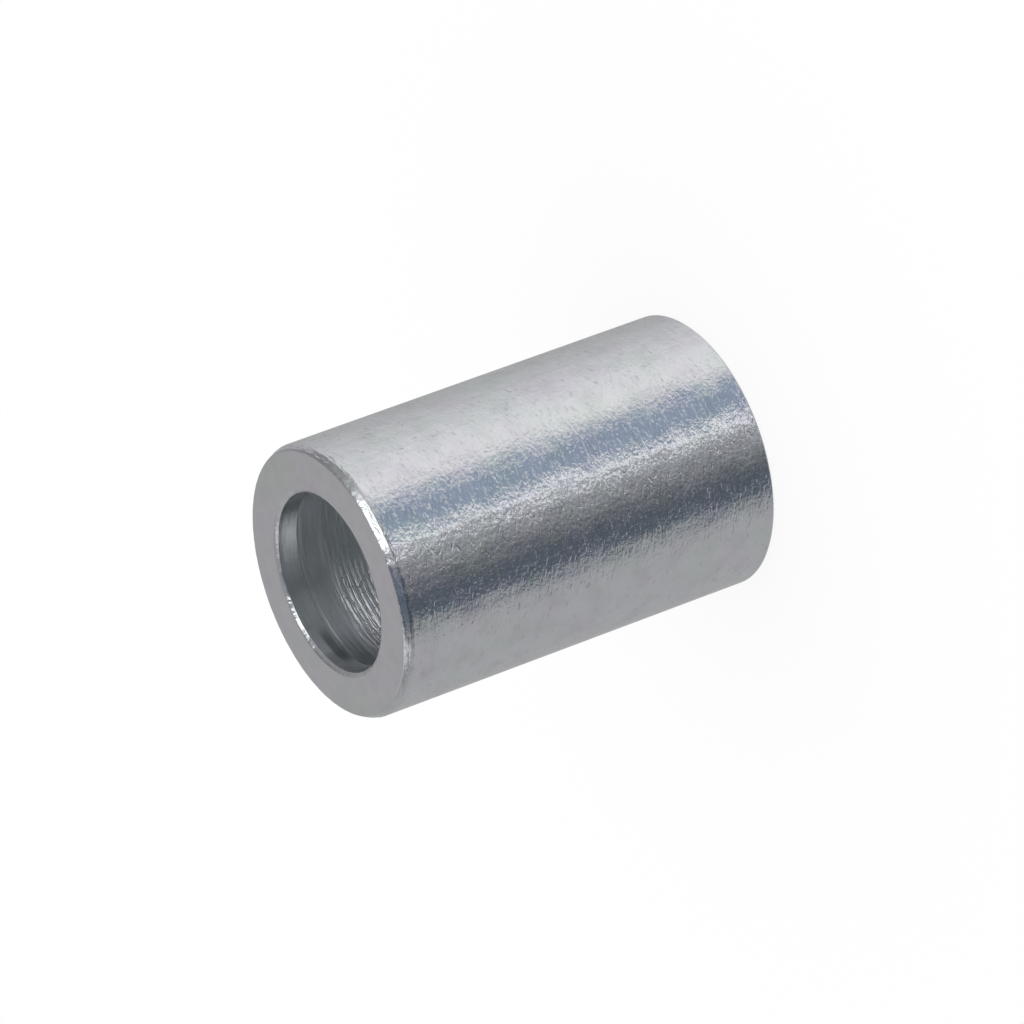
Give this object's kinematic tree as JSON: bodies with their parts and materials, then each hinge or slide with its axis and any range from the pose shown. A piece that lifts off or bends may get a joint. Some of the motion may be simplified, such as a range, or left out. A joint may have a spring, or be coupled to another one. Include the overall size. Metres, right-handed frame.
{
  "type": "crimp hose ferrule",
  "caption": "Plain turned steel sleeve with an inward collar and an internally ringed bore, crimped over a hydraulic hose to clamp it on a fitting's tail.",
  "frame": {"origin": "centre of the annular end face that the hose enters, on the surface the ferrule stands on", "axes": "+Z along the bore axis, from the hose end up to the collar end; X and Y are any two radii, as the part is a body of revolution"},
  "size_m": [0.02, 0.02, 0.0308],
  "materials": {
    "zinc_plated_steel": "bright zinc plating over turned and tumbled steel, satin with many fine short scratches"
  },
  "bodies": {
    "root": {"ferrule": "zinc_plated_steel"}
  },
  "joints": []
}
